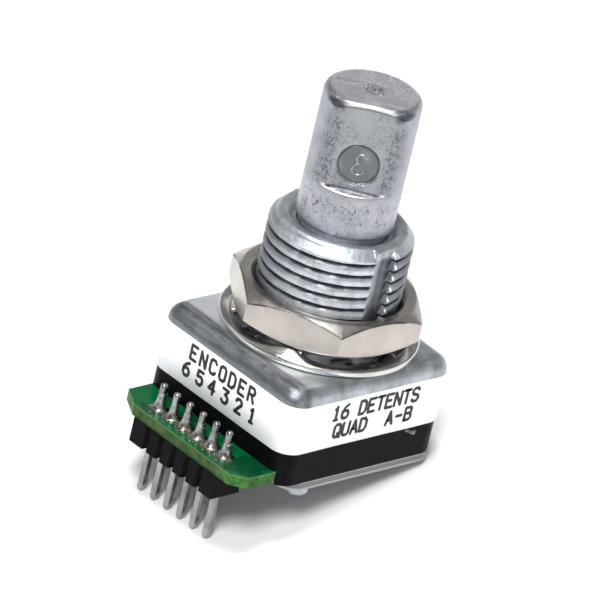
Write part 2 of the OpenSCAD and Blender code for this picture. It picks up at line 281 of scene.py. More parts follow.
def post(x, y):
    """One of the cap's posts, its end swaged over the back plate."""
    low, plate, top = CAP_LOW[2], PLATE_LOW[2], CAP_Z + 0.2
    profile = [(0, low), (0.5, low), (0.68, low + 0.06), (0.78, low + 0.2), (0.8, plate - 0.12),
               (0.76, plate - 0.02), (0.45, plate), (0.45, top), (0, top)]
    return turned(profile, (x, y), wobble=0.03, seed=int(abs(x + 2 * y) * 10))


def thread_burr(turn, side):
    """The slanted end of one thread beside a relief channel, which the cap's material paints near white as a
    highlight.
    """
    start = CHANNEL_ANGLE + side + CHANNEL_HALF
    z = GROOVE_Z + PITCH * (turn + start / 360)
    rows = []
    for t in np.linspace(0, 1, 9):
        bulge = 0.05 * math.sin(math.pi * t)
        middle = polar(CREST_R - 0.02 + bulge, start + 0.2 + 4.2 * t, z + 0.66 - 0.5 * t)
        size = 0.02 + bulge
        rows.append([middle + polar(size, a, size * math.sin(math.radians(a))) for a in range(0, 360, 45)])
    return loft(rows)


def make_cap(zinc):
    """The housing cap and bushing, one closed skin from the outside over the rim and down the bore."""
    half = CHANNEL_HALF
    channel = (-half - 0.1, -half + 1.1, *np.arange(half - 1.2, half + 4.8, 0.4))
    edges = [CHANNEL_ANGLE + side + k for side in (0, 180) for k in channel]
    degrees = np.unique(np.round(np.concatenate([np.arange(0, 360, 0.7), np.mod(edges, 360)]), 3))
    rows = [polar(outline_radius(degrees), degrees, CAP_Z)]
    rows += [polar(outline_radius(degrees), degrees, z) for z in np.linspace(CAP_Z + 0.1, -EDGE_R, 4)]
    for a in np.radians(np.arange(7.5, 90.1, 7.5)):
        inset = EDGE_R * (1 - math.cos(a))
        rows.append(polar(outline_radius(degrees, inset), degrees, EDGE_R * (math.sin(a) - 1)))
    shoulder, foot = outline_radius(degrees, EDGE_R), CREST_R + 0.2
    rows += [polar(shoulder * (1 - t) + foot * t, degrees, 0) for t in np.linspace(0.08, 1, 12)]
    rows.append(polar(CREST_R + 0.06, degrees, 0.06))
    outer_rows = len(rows)
    for z in np.concatenate([np.arange(0.15, THREAD_TOP, 0.045), np.arange(THREAD_TOP, RIM_Z - 0.05, 0.06)]):
        rows.append(polar(bushing_radius(degrees, z), degrees, z))
    inside = ((4.08, RIM_Z - 0.015), (4.0, RIM_Z), (3.64, RIM_Z), (3.58, RIM_Z - 0.03),
              (COLLAR_BORE_R, COLLAR_BORE_Z + 0.04), (COLLAR_BORE_R, COLLAR_BORE_Z), (BORE_R, COLLAR_BORE_Z),
              (BORE_R, POCKET_Z), (POCKET_R, POCKET_Z), (POCKET_R, SLOT_Z))
    rows += [polar(r, degrees, z) for r, z in inside]
    rows += [polar(slot_radius(degrees), degrees, z) for z in (SLOT_Z, CAP_Z)]
    rows = np.array(rows)
    skin = rows[1:outer_rows]
    skin[..., :2] *= (1 + 0.0016 * ripple(skin, 1.6, 3))[..., None]
    skin[..., 2] -= 0.012 * (1 + ripple(skin, 2.2, 4)) * (skin[..., 2] > -0.5)
    posts = [post(x, y) for x, y in ((5.6, -4.8), (-5.6, -4.8), (BODY_X - CORNER_R, BODY_Y1 - CORNER_R),
                                     (CORNER_R - BODY_X, BODY_Y1 - CORNER_R))]
    burrs = [thread_burr(turn, side) for side in (0, 180) for turn in range(-5, 4)
             if (turn, side) != (3, 180)]
    verts, faces = joined(loft(rows, ring=True), *posts, *burrs)
    cap = make_object("zinc_cap", verts, faces, zinc, "housing", sharp=40)
    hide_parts("housing_cap")


# ---------------- nut and lockwasher

def hexagon():
    """Angles and radii round the nut, whose upright edges are slightly rounded."""
    half, corner = NUT_AF / 2, 0.12
    reach = (half - corner) * math.tan(math.pi / 6)
    points = []
    for k in range(6):
        vertex = math.radians(NUT_TURN + 60 * k)
        centre = (half - corner) / math.cos(math.pi / 6)
        for a in np.radians(np.linspace(-30, 30, 6)):
            points.append((centre * math.cos(vertex) + corner * math.cos(vertex + a),
                           centre * math.sin(vertex) + corner * math.sin(vertex + a)))
        c, s = math.cos(vertex + math.pi / 6), math.sin(vertex + math.pi / 6)
        points += [(half * c - u * s, half * s + u * c) for u in np.linspace(-reach, reach, 34)[1:-1]]
    x, y = np.array(points).T
    return np.degrees(np.arctan2(y, x)), np.hypot(x, y)


def make_nut(nickel):
    degrees, hex_r = hexagon()
    low, high, half = NUT_LOW[2], NUT_HIGH[2], NUT_AF / 2
    chamfer = (hex_r - half) / math.sqrt(3) + 0.02
    bore = CREST_R + 0.05

    def corner(r, z):
        return np.stack(np.broadcast_arrays(np.asarray(r, float), np.asarray(z, float), hex_r)[:2], -1)

    lead = 0.3
    section = ((bore + lead, low), (half - 0.05, low), (hex_r, low + chamfer), (hex_r, high - chamfer),
               (half - 0.05, high), (bore + lead, high), (bore, high - lead), (bore, low + lead))
    steps = 3
    thread_start = 7 * (steps + 1)       # rows that round the corners before the thread's lower end
    rounded = swept(rounded_profile([corner(r, z) for r, z in section], 0.07, steps), degrees)
    rows = rounded[:thread_start]
    for z in np.linspace(high - lead - 0.04, low + lead + 0.04, 40):
        rows.append(polar(bore + 0.25 * thread_cut(degrees, z), degrees, z))
    rows += rounded[thread_start + 2:]
    nut = make_object("nut", *loft(rows, ring=True), nickel, "housing", sharp=28)
    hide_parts("hex_nut")


def washer_tooth(turn, bend):
    """A tooth that reaches in from the ring and is twisted about its own length."""
    rows = []
    for s in np.linspace(0, 1, 12):
        radius, half_width = 5.85 - 0.98 * s, 0.8 - 0.1 * s
        half_thick = 0.2 - 0.05 * smooth_step(0, 0.5, s)
        bent = smooth_step(0.05, 0.6, s)
        twist = math.radians(bend) * bent
        height = WASHER_T / 2 + 0.0104 * bend * bent
        row = []
        for a in np.radians(np.arange(0, 360, 15)):
            t, n = (half * math.copysign(abs(part) ** SQUARENESS, part)
                    for half, part in ((half_width, math.cos(a)), (half_thick, math.sin(a))))
            row.append((radius, t * math.cos(twist) - n * math.sin(twist),
                        height + t * math.sin(twist) + n * math.cos(twist)))
        rows.append(row)
    c, s = math.cos(math.radians(turn)), math.sin(math.radians(turn))
    x, y, z = np.moveaxis(np.array(rows), -1, 0)
    return loft(np.stack([x * c - y * s, x * s + y * c, z], -1))


def make_washer(steel):
    degrees = np.arange(0, 360, 1.5)
    inner = WASHER_R - RING_WIDTH
    section = ((inner, 0.0), (WASHER_R, 0.0), (WASHER_R, WASHER_T), (inner, WASHER_T))
    corners = np.array([np.tile(p, (len(degrees), 1)) for p in section])
    off = (degrees - TOOTH_TURN + 180) % 360 - 180
    raised = np.exp(-(off / np.where(off < 0, 18, 12)) ** 2)
    corners[3, :, 1] += 0.46 * raised
    corners[0, :, 1] += 0.2 * raised
    corners[[0, 3], :, 0] -= 0.1 * raised
    ring = loft(swept(rounded_profile(corners, 0.16, 4), degrees), ring=True)
    teeth = [washer_tooth(TOOTH_TURN + 360 / TEETH * k, 25 if k == 0 else 7) for k in range(TEETH)]
    washer = make_object("toothed_washer", *joined(ring, *teeth), steel, "housing", sharp=50)
    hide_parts("lockwasher")


# ---------------- shaft

def arc(cx, cy, radius, start, end):
    """Points of a path along a circle, between two angles."""
    return [(cx + radius * math.cos(a), cy + radius * math.sin(a))
            for a in np.radians(np.linspace(start, end, 14))]


def distance_to_path(u, v, path):
    """Distance of each point to a chain of straight pieces."""
    best = np.full(np.shape(u), 9.0)
    for (ax, ay), (bx, by) in zip(path, path[1:]):
        dx, dy = bx - ax, by - ay
        t = np.clip(((u - ax) * dx + (v - ay) * dy) / (dx * dx + dy * dy), 0, 1)
        best = np.minimum(best, np.hypot(u - ax - t * dx, v - ay - t * dy))
    return best


def mark_depth(u, v):
    """Depth of the round cavity mark on the flat: groove, disc, crescent outside it and raised numeral."""
    d = np.hypot(u, v)
    groove = 0.09 * smooth_step(0.075, 0.03, np.abs(d - MARK_R))
    disc = 0.035 * smooth_step(MARK_R, MARK_R - 0.05, d)
    crescent = 0.05 * smooth_step(0.05, 0.02, np.abs(d - MARK_R - 0.14)) * smooth_step(-0.1, -0.6, v / MARK_R)
    numeral = arc(0.14, 0.36, 0.33, 20, 235) + arc(0.02, -0.36, 0.37, 95, 340)
    return groove + disc + crescent - 0.06 * smooth_step(0.085, 0.03, distance_to_path(u, v, numeral))


def shaft_section(phi, round_r, flat_r):
    """Radius of the D section: a round with a flat, their edges worn soft."""
    softness = 14.0
    inside = np.abs(phi) < 80
    flat = np.where(inside, flat_r / np.cos(np.radians(np.where(inside, phi, 0))), 9)
    return round_r - np.log1p(np.exp(softness * (round_r - flat))) / softness


def make_shaft(zinc):
    """The shaft from its drive end up: clip groove, collar, ledge, flat with its mark, and pitted top."""
    half = math.degrees(math.acos(FLAT_R / SHAFT_R))
    across = np.linspace(-1, 1, 141) * SHAFT_R * math.sin(math.radians(half))
    phi = np.concatenate([np.degrees(np.arctan2(across, FLAT_R)), np.linspace(half, 360 - half, 190)[1:-1]])
    phi = (phi + 180) % 360 - 180
    degrees = phi + FLAT_ANGLE
    normal = np.array([math.cos(math.radians(FLAT_ANGLE)), math.sin(math.radians(FLAT_ANGLE)), 0])
    drive = np.minimum(1.7, 1.35 / np.maximum(np.abs(np.sin(np.radians(degrees))), 1e-6))
    tip = SHAFT_LOW[2]
    outline = ((0.9, tip + 1.6), (0.9, tip), (drive, tip), (drive, ROUND_END), (NECK_R, ROUND_END),
               (NECK_R, CLIP_LOW), (CLIP_R, CLIP_LOW), (CLIP_R, CLIP_TOP), (NECK_R, CLIP_TOP),
               (NECK_R, COLLAR_Z), (SHAFT_R - 0.06, COLLAR_Z), (SHAFT_R, COLLAR_Z + 0.055))
    rows = [polar(r, degrees, z) for r, z in outline]
    rows += [polar(SHAFT_R, degrees, z) for z in np.linspace(8.2, FLAT_Z - 0.16, 34)]
    at_flat = smooth_step(half + 2, half - 5, np.abs(phi))
    inner = shaft_section(phi, SHAFT_R, FLAT_R)
    for step, z in ((0.01, -0.1), (0.04, -0.04), (0.09, 0.0), (0.14, 0.0), (0.18, -0.03)):
        rows.append(polar(SHAFT_R - step * at_flat, degrees, FLAT_Z + z * at_flat - 0.1 * (1 - at_flat)))
    for t, z in ((0.15, -0.09), (0.4, -0.12), (0.7, -0.1), (0.88, -0.04), (0.96, 0.02), (1.0, 0.1)):
        reach = (SHAFT_R - 0.18 * at_flat) * (1 - t) + inner * t
        rows.append(polar(reach, degrees, FLAT_Z + z * at_flat + (0.02 * t - 0.08) * (1 - at_flat)))
    flat_start = len(rows) - 1
    above_mark = 14.5
    heights = (*np.arange(FLAT_Z + 0.16, above_mark, 0.03), *np.arange(above_mark, SHAFT_TOP - FILLET, 0.05))
    rows += [polar(inner, degrees, z) for z in heights]
    edge = 0.2
    for a in np.radians(np.arange(6, 90.1, 6)):
        z = SHAFT_TOP + FILLET * (math.sin(a) - 1)
        worn = edge * (1 - math.sqrt(max(1 - (max(z - SHAFT_TOP + edge, 0) / edge) ** 2, 0)))
        section = shaft_section(phi, SHAFT_R - FILLET * (1 - math.cos(a)), FLAT_R - worn)
        rows.append(polar(section, degrees, z))
    flat_end = len(rows)
    rim = rows[-1]
    rows = np.array(rows + [rim * np.array([k, k, 1]) for k in np.linspace(0.97, 0.015, 46)])
    wall = rows[flat_start:flat_end]
    aside = wall[..., 0] * -normal[1] + wall[..., 1] * normal[0]
    on_flat = smooth_step(2.5, 2.1, np.abs(aside)) * (np.abs(phi) < half + 12)
    dent = sum(np.exp(-((aside - u) / 0.4) ** 2 - ((wall[..., 2] - z) / 0.26) ** 2) * depth
               for u, z, depth in DENTS)
    depth = mark_depth(aside, wall[..., 2] - MARK_Z) * (np.hypot(aside, wall[..., 2] - MARK_Z) < 1.6)
    depth = depth + dent + 0.012 * ripple(wall, 0.9, 11)
    wall -= normal * (depth * on_flat)[..., None]
    top = rows[flat_end:]
    away = np.hypot(top[..., 0] - 0.1, top[..., 1] + 0.15)
    pits = smooth_step(0.25, 0.75, ripple(top, 0.2, 21, 12)) * smooth_step(0.95, 0.5, away)
    top[..., 2] -= 0.05 * pits + 0.02 * smooth_step(0.2, 0.9, ripple(top, 1.2, 9))
    shaft = make_object("zinc_shaft", *loft(rows), zinc, "shaft", sharp=50)
    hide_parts("shaft")


# ---------------- printed label

LETTER_WIDTH, STROKE_WIDTH, INK_HEIGHT = 0.52, 0.23, 0.0035
STROKES = {  # a letter's strokes as x,y points on a grid 4 wide and 6 high; a bar starts the next stroke
    "1": "1,5 2,6 2,0 | 1,0 3,0",
    "2": "0,4.8 0.6,5.8 1.6,6 2.8,6 3.8,5.2 3.8,4 0,0 4,0",
    "3": "0,6 3.8,6 1.9,3.6 3,3.5 4,2.6 4,1.2 3,0 1,0 0,0.9",
    "4": "3,0 3,6 0,1.9 4,1.9",
    "5": "3.8,6 0.4,6 0.2,3.4 2.8,3.7 4,2.8 4,1.2 3,0 1,0 0,0.9",
    "6": "3.4,6 1.4,5 0,3 0,1.2 1,0 3,0 4,1 4,2.4 3,3.4 1,3.4 0.1,2.4",
    "A": "0,0 2,6 4,0 | 0.8,2 3.2,2",
    "B": "0,0 0,6 3,6 3.9,5.2 3.9,4 3,3.2 0,3.2 | 3,3.2 4,2.3 4,0.9 3,0 0,0",
    "C": "4,5 3,6 1,6 0,5 0,1 1,0 3,0 4,1",
    "D": "0,0 0,6 2.6,6 4,4.6 4,1.4 2.6,0 0,0",
    "E": "4,6 0,6 0,0 4,0 | 0,3.1 3,3.1",
    "N": "0,0 0,6 4,0 4,6",
    "O": "1,0 0,1 0,5 1,6 3,6 4,5 4,1 3,0 1,0",
    "Q": "1,0 0,1 0,5 1,6 3,6 4,5 4,1 3,0 1,0 | 2.4,1.6 4.1,-0.3",
    "R": "0,0 0,6 3,6 4,5 4,4 3,3 0,3 | 2,3 4,0",
    "S": "4,5.1 3,6 1,6 0,5 0,4 1,3.2 3,2.8 4,2 4,1 3,0 1,0 0,0.9",
    "T": "0,6 4,6 | 2,6 2,0",
    "U": "0,6 0,1 1,0 3,0 4,1 4,6",
    "-": "0.4,3 3.6,3",
}


def capsule(a, b, width, lift):
    """A thin flat stroke with round ends between two points of a plane; z is the height over the plane."""
    (ax, ay), (bx, by) = a, b
    turn = math.atan2(by - ay, bx - ax)
    ring = []
    for end_x, end_y, start in ((bx, by, turn - math.pi / 2), (ax, ay, turn + math.pi / 2)):
        for k in range(7):
            angle = start + math.pi * k / 6
            ring.append((end_x + width / 2 * math.cos(angle), end_y + width / 2 * math.sin(angle)))
    return loft([[(x, y, z) for x, y in ring] for z in (-0.02, lift)])


def printed(text, positions, base, height=0.95):
    """Strokes of a line of text: positions are the letters' middles along the line."""
    parts = []
    for letter, middle in zip(text, positions):
        for path in STROKES.get(letter, "").split("|"):
            grid = [[float(v) for v in point.split(",")] for point in path.split()]
            points = [(middle + (x / 4 - 0.5) * LETTER_WIDTH, base + y / 6 * height) for x, y in grid]
            for k, (a, b) in enumerate(zip(points, points[1:])):
                parts.append(capsule(a, b, STROKE_WIDTH, INK_HEIGHT + 0.0004 * (k % 3)))
    return parts


def make_label(paper, ink):
    thick = LABEL_HIGH[0] - BODY_X - 0.015
    edge = 0.03
    gap_start, gap_end = -130.2, 227.4
    rows = []
    for angle in np.linspace(gap_start, gap_end, 620):
        inner, outer = outline_radius(angle), outline_radius(angle, -thick)
        low = LABEL_LOW[2] + 0.012 * (1 + math.sin(angle / 17) * math.cos(angle / 7.3))
        high = LABEL_HIGH[2] - 0.012 * (1 + math.sin(angle / 13 + 1) * math.cos(angle / 9.1))
        section = ((inner, low), (outer - edge, low), (outer, low + edge),
                   (outer, high - edge), (outer - edge, high), (inner, high))
        rows.append([polar(float(r), angle, z) for r, z in section])
    label = make_object("printed_wrap", *loft(rows), paper, "housing", sharp=50)
    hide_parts("label")

    front = (printed("ENCODER", np.linspace(-2.85, 2.72, 7), -2.4)
             + printed("654321", (-3.2, -1.9, -0.72, 0.55, 1.85, 3.15), -3.68, 0.92))
    side = (printed("16 DETENTS", np.linspace(-3.8, 3.05, 10), -2.4)
            + printed("QUAD", (-3.4, -2.65, -1.9, -1.15), -3.7, 0.9)
            + printed("A-B", (1.15, 1.95, 2.75), -3.7, 0.9))
    face_y, face_x = BODY_Y0 - thick, BODY_X + thick
    for name, parts, place in (("print_front", front, lambda u, v, n: (u, face_y - n, v)),
                               ("print_side", side, lambda u, v, n: (face_x + n, u, v))):
        verts, faces = joined(*parts)
        piece = make_object(name, [place(*p) for p in verts], faces, ink, "housing")


# ---------------- pins, solder and board trim

def make_pale_fleck(chip):
    """A pale fleck on the +X side of the lower housing, three thin strokes of lighter plastic."""
    marks = (((3.05, -4.62), (3.45, -4.78), 0.16), ((3.4, -4.76), (3.85, -4.98), 0.2),
             ((3.7, -4.8), (3.95, -4.86), 0.1))
    verts, faces = joined(*[capsule(a, b, width, 0.012) for a, b, width in marks])
    piece = make_object("pale_fleck", [(BODY_X + n, u, v) for u, v, n in verts], faces, chip, "housing")


def rounded_square(half, power):
    """Angles and radii of a square with rounded corners, or of a circle if the power is 2."""
    degrees = np.arange(24) * 15.0
    a = np.radians(degrees)
    return degrees, half / (np.abs(np.cos(a)) ** power + np.abs(np.sin(a)) ** power) ** (1 / power)


def make_pin(number, tin):
    """A square pin with a worn point, rounded where it comes up through its solder. Gives its place."""
    name = f"pin_{number}"
    low, high = box_mm(name)
    x, y, half = (low[0] + high[0]) / 2, (low[1] + high[1]) / 2, (high[0] - low[0]) / 2
    degrees, section = rounded_square(half, 5.0)
    round_section = rounded_square(half, 2.0)[1]
    rows = []
    point, dome = 0.26, 0.24
    heights = [low[2], low[2] + 0.03, low[2] + 0.12, low[2] + point]
    heights += list(np.linspace(low[2] + 0.5, PCB_HIGH[2] + 0.3, 16))
    for z in heights:
        taper = 0.5 + 0.5 * min((z - low[2]) / point, 1) ** 0.6
        rows.append(polar(section * taper, degrees, z))
    for z in np.linspace(PCB_HIGH[2] + 0.4, high[2], 18):
        round_off = math.sqrt(max(1 - (max(z - high[2] + dome, 0) / dome) ** 2, 0.0004))
        rows.append(polar(round_section * 1.08 * round_off, degrees, z))
    rows = np.array(rows)
    rows[..., :2] *= (1 + 0.05 * ripple(rows, 0.5, 40 + number) * (rows[..., 2] > PCB_HIGH[2]))[..., None]
    rows[..., :2] = np.clip(rows[..., :2], -half * 1.12, half * 1.12) + np.array([x, y])
    pin = make_object(f"plated_{name}", *loft(rows), tin, "housing", sharp=60)
    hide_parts(name)
    return x, y


def make_solder(number, x, y, solder, flux, tin):
    """A pin's solder joint and its pad, the flux round them and the small via beside them."""
    board = PCB_HIGH[2]
    rng = np.random.default_rng(60 + number)
    climb = rng.uniform(0.9, 1.15)
    foot, hole = PCB_LOW[2] + 0.02, 0.39
    profile = [(0.0, foot), (hole, foot), (hole, board), (0.57, board), (0.58, board + 0.04)]
    for t in np.linspace(0.06, 1, 16):
        profile.append((0.26 + 0.1 * (1 - t) + 0.19 * (1 - t) ** 4, board + 0.03 + climb * t))
    profile.append((0.0, board + 0.05 + climb))
    fillet = turned(profile, (x, y), 40, 0.07, 70 + number)
    joint = make_object(f"solder_joint_{number}", *fillet, solder, "housing", sharp=60)
    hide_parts(f"solder_{number}")
    pad = ((0.45, 0.002), (0.63, 0.002), (0.64, 0.014), (0.62, 0.024), (0.45, 0.024))
    degrees = np.arange(0, 360, 7.5)
    ring = loft([polar(r, degrees, board + h) + np.array([x, y, 0]) for r, h in pad], ring=True)
    make_object(f"pad_{number}", *ring, tin, "housing")
    spread = 0.68 + 0.08 * ripple(polar(1, degrees, number), 1.6, 80 + number)
    rows = [polar(spread * k, degrees, board + h) + np.array([x + 0.03, y - 0.06, 0])
            for k, h in ((0.3, 0.001), (1, 0.001), (0.98, 0.012), (0.85, 0.03), (0.6, 0.05), (0.3, 0.06))]
    residue = make_object(f"flux_{number}", *loft(rows), flux, "housing", sharp=80)
    dome = [(r, board + h) for r, h in ((0, 0), (0.09, 0), (0.1, 0.02), (0.05, 0.05), (0, 0.055))]
    dot = turned(dome, (x + rng.uniform(-0.1, 0.15), y - 0.86), 14)
    make_object(f"via_{number}", *dot, tin, "housing")


def make_terminals(materials):
    tin = materials["tin"]
    for number in range(1, 7):
        x, y = make_pin(number, tin)
        make_solder(number, x, y, materials["solder"], materials["flux"], tin)


# ---------------- materials

class Field:
    """A number or colour inside a material, which takes ordinary arithmetic."""

    def __init__(self, tree, socket):
        self.tree, self.socket = tree, socket

    def __add__(self, other):
        return self.tree.math("ADD", self, other)

    def __sub__(self, other):
        return self.tree.math("SUBTRACT", self, other)

    def __rsub__(self, other):
        return self.tree.math("SUBTRACT", other, self)

    def __mul__(self, other):
        return self.tree.math("MULTIPLY", self, other)

    def __truediv__(self, other):
        return self.tree.math("DIVIDE", self, other)

    def __abs__(self):
        return self.tree.math("ABSOLUTE", self, 0.0)

    def root(self):
        return self.tree.math("POWER", self, 0.5)


class Tree:
    """A material's node tree, with short calls for the nodes used here. Sizes are in millimetres."""

    def __init__(self, name, **shader):
        self.material = bpy.data.materials.new(name)
        self.material.use_nodes = True
        self.nodes, self.links = self.material.node_tree.nodes, self.material.node_tree.links
        self.shader = self.nodes["Principled BSDF"]
        for socket, value in shader.items():
            self.shader.inputs[socket.replace("_", " ")].default_value = value
        self.where = self.node("ShaderNodeTexCoord", {}, "Object")
        self.x, self.y, self.z = (self.node("ShaderNodeSeparateXYZ", {0: self.where}, axis) * 1000.0
                                  for axis in "XYZ")

    def node(self, kind, inputs, output=0, **settings):
        """Adds a node and returns one of its outputs."""
        made = self.nodes.new(kind)
        for key, value in settings.items():
            setattr(made, key, value)
        for key, value in inputs.items():
            if isinstance(value, Field):
                self.links.new(value.socket, made.inputs[key])
            else:
                made.inputs[key].default_value = value
        return Field(self, made.outputs[output])

    def noise(self, size, detail, rough, stretch=(1, 1, 1), distortion=0.0):
        """Cloudy noise with lumps about size millimetres across, longer where stretch is below 1."""
        scale = [1000 / size * s for s in stretch]
        place = self.node("ShaderNodeMapping", {"Vector": self.where, "Scale": scale})
        return self.node("ShaderNodeTexNoise", {"Vector": place, "Scale": 1.0, "Detail": detail,
                                                "Roughness": rough, "Distortion": distortion}, "Fac")

    def cells(self, size):
        """Distance to the edges of crooked cells about size millimetres across."""
        warp = 0.8
        place = self.node("ShaderNodeMapping", {"Vector": self.where, "Scale": [1000 / size] * 3})
        bend = self.node("ShaderNodeTexNoise", {"Vector": place, "Scale": 2.2, "Detail": 3.0}, "Color")
        bend = self.node("ShaderNodeVectorMath", {0: bend, 1: [warp] * 3}, operation="MULTIPLY")
        place = self.node("ShaderNodeVectorMath", {0: place, 1: bend}, operation="ADD")
        return self.node("ShaderNodeTexVoronoi", {"Vector": place, "Scale": 1.0}, "Distance",
                         feature="DISTANCE_TO_EDGE")

    def math(self, operation, a, b):
        return self.node("ShaderNodeMath", {0: a, 1: b}, operation=operation)

    def ramp(self, value, low, high, to_low=0.0, to_high=1.0):
        """Runs from to_low to to_high while the value goes from low to high, and is held beyond them."""
        return self.node("ShaderNodeMapRange", {"Value": value, "From Min": low, "From Max": high,
                                                "To Min": to_low, "To Max": to_high}, "Result")

    def band(self, value, start, full, fade, end):
        """Climbs from 0 at start to 1 at full, then falls from 1 at fade to 0 at end."""
        return self.ramp(value, start, full) * self.ramp(value, end, fade)

    def mix(self, factor, a, b):
        """Colour a where the factor is 0, colour b where it is 1."""
        a, b = (c if isinstance(c, Field) else (*c, 1) for c in (a, b))
        return self.node("ShaderNodeMix", {0: factor, 6: a, 7: b}, 2, data_type="RGBA")

    def set(self, socket, value):
        self.links.new(value.socket, self.shader.inputs[socket])

    def colour(self, value):
        self.set("Base Color", value)

    def roughness(self, noise, low, high):
        self.set("Roughness", self.ramp(noise, 0.3, 0.7, low, high))

    def bump(self, height, depth, after=None):
        """Bump whose full height is depth millimetres, on top of an earlier bump."""
        inputs = {"Height": height, "Distance": depth * MM, "Strength": 1.0}
        if after is not None:
            inputs["Normal"] = after
        made = self.node("ShaderNodeBump", inputs)
        self.set("Normal", made)
        return made


def cast_zinc(name, dark, light, rough):
    """As-cast zinc: cloudy grey, faint flow lines and fine bright grain. Gives its tree, colour and bump."""
    grain = 0.09
    t = Tree(name, Metallic=1.0)
    cloud, fine = t.noise(1.4, 5, 0.6, distortion=0.6), t.noise(grain, 3, 0.7)
    colour = t.mix(t.ramp(cloud, 0.32, 0.68), dark, light)
    colour = t.mix(t.ramp(fine, 0.5, 0.75) * 0.4, colour, [min(c * 1.4, 1) for c in light])
    t.roughness(cloud * 0.6 + fine * 0.4, rough - 0.08, rough + 0.1)
    flow = t.noise(0.7, 3, 0.5, distortion=1.0)
    return t, colour, t.bump(flow, 0.03, t.bump(t.noise(grain * 1.6, 4, 0.65), 0.016))


def shaft_material():
    """Cast zinc with pitted bands beside the flat, a dark recessed mark and a few cracks under the ledge.
    Painted shade in the hollows at the flat's upper corners and under its top edge, painted highlights along
    that edge and on the top face, and painted highlight and shade on the ledge's lip.
    """
    t, base, relief = cast_zinc("shaft_cast_zinc", (0.30, 0.31, 0.345), (0.40, 0.41, 0.445), 0.38)
    turn = math.radians(FLAT_ANGLE)
    front = t.x * math.cos(turn) + t.y * math.sin(turn)
    aside = t.x * -math.sin(turn) + t.y * math.cos(turn)
    wide, z = abs(aside), t.z
    from_axis = front * front + aside * aside
    flat_side = t.ramp(front, 1.2, 1.6)

    paler = t.ramp(z, FLAT_Z, FLAT_Z - 0.6) * t.ramp(t.noise(0.8, 3, 0.6), 0.25, 0.6)
    base = t.mix(paler * 0.7, base, (0.52, 0.52, 0.56))
    beside = t.ramp(abs(wide - 2.05), 0.75, 0.2) * flat_side * t.band(z, 10.9, 11.5, 15.6, 16.4)
    base = t.mix(beside * 0.35, base, (0.2, 0.205, 0.23))
    face = t.ramp(wide, 1.75, 1.35) * flat_side * t.ramp(z, 11.2, 11.6)
    base = t.mix(face * 0.55, base, (0.33, 0.35, 0.34))
    # Painted highlight: the shaft's top face is painted pale.
    base = t.mix(t.ramp(z, SHAFT_TOP - 0.06, SHAFT_TOP - 0.01) * 0.85, base, (0.72, 0.72, 0.78))

    pits = t.ramp(t.noise(0.17, 4, 0.7, distortion=0.5), 0.5, 0.62)
    patches = t.ramp(t.noise(1.5, 2, 0.5), 0.42, 0.62)
    pitted = t.math("MAXIMUM", pits * patches * 0.35, pits * beside * 0.85)
    crack = t.ramp(t.cells(0.62), 0.05, 0.0) * t.ramp(t.noise(0.6, 3, 0.6), 0.5, 0.58)
    worn = t.math("MAXIMUM", pitted, crack * t.band(z, 8.4, 9.3, 10.2, 10.8) * flat_side)
    base = t.mix(worn, base, (0.1, 0.105, 0.12))

    up = z - MARK_Z
    disc = t.ramp((aside * aside + up * up).root(), MARK_R + 0.08, MARK_R - 0.02)
    recessed = t.ramp(front, FLAT_R - 0.005, FLAT_R - 0.03)
    base = t.mix(disc * recessed * flat_side, base, (0.17, 0.18, 0.185))

    # Painted shade in the hollows at the flat's upper corners.
    corner_u, corner_z = (wide - 2.2) / 0.62, (z - (SHAFT_TOP - 0.42)) / 0.27
    painted_hollow_shade = t.ramp(corner_u * corner_u + corner_z * corner_z, 1.3, 0.5) * flat_side
    base = t.mix(painted_hollow_shade * 0.88, base, (0.075, 0.08, 0.1))
    bowed = z + aside * aside * 0.05 - SHAFT_TOP
    # Painted shade: a dark band just below the flat's top edge.
    painted_under_edge_shade = t.band(bowed, -0.4, -0.3, -0.26, -0.2) * t.ramp(wide, 1.9, 1.6) * flat_side
    base = t.mix(painted_under_edge_shade * 0.6, base, (0.12, 0.125, 0.13))
    # Painted highlight: a near-white band along the flat's rounded top edge.
    edge = t.band(bowed, -0.24, -0.15, -0.03, 0.02) * t.ramp(wide, 1.7, 1.2) * flat_side
    base = t.mix(edge, base, (0.95, 0.95, 0.95))
    # Painted highlight on the ledge's outer lip and painted shade where the ledge meets the flat.
    ledge_highlight_and_shade = t.band(z - FLAT_Z, -0.11, -0.06, 0.1, 0.16) * t.ramp(wide, 2.1, 1.9) * flat_side
    base = t.mix(ledge_highlight_and_shade * 0.9, base, t.mix(t.ramp(from_axis, 8.9, 9.3), (0.2, 0.2, 0.22), (0.95, 0.95, 0.96)))
    speckle = t.ramp(t.noise(0.13, 4, 0.7, distortion=0.6), 0.5, 0.56) * t.ramp(from_axis, 0.75, 0.3)
    speckle = speckle * t.ramp(z, SHAFT_TOP - 0.16, SHAFT_TOP - 0.1)
    t.colour(t.mix(speckle, base, (0.13, 0.13, 0.16)))
    t.bump(1.0 - worn, 0.035, relief)
    return t.material


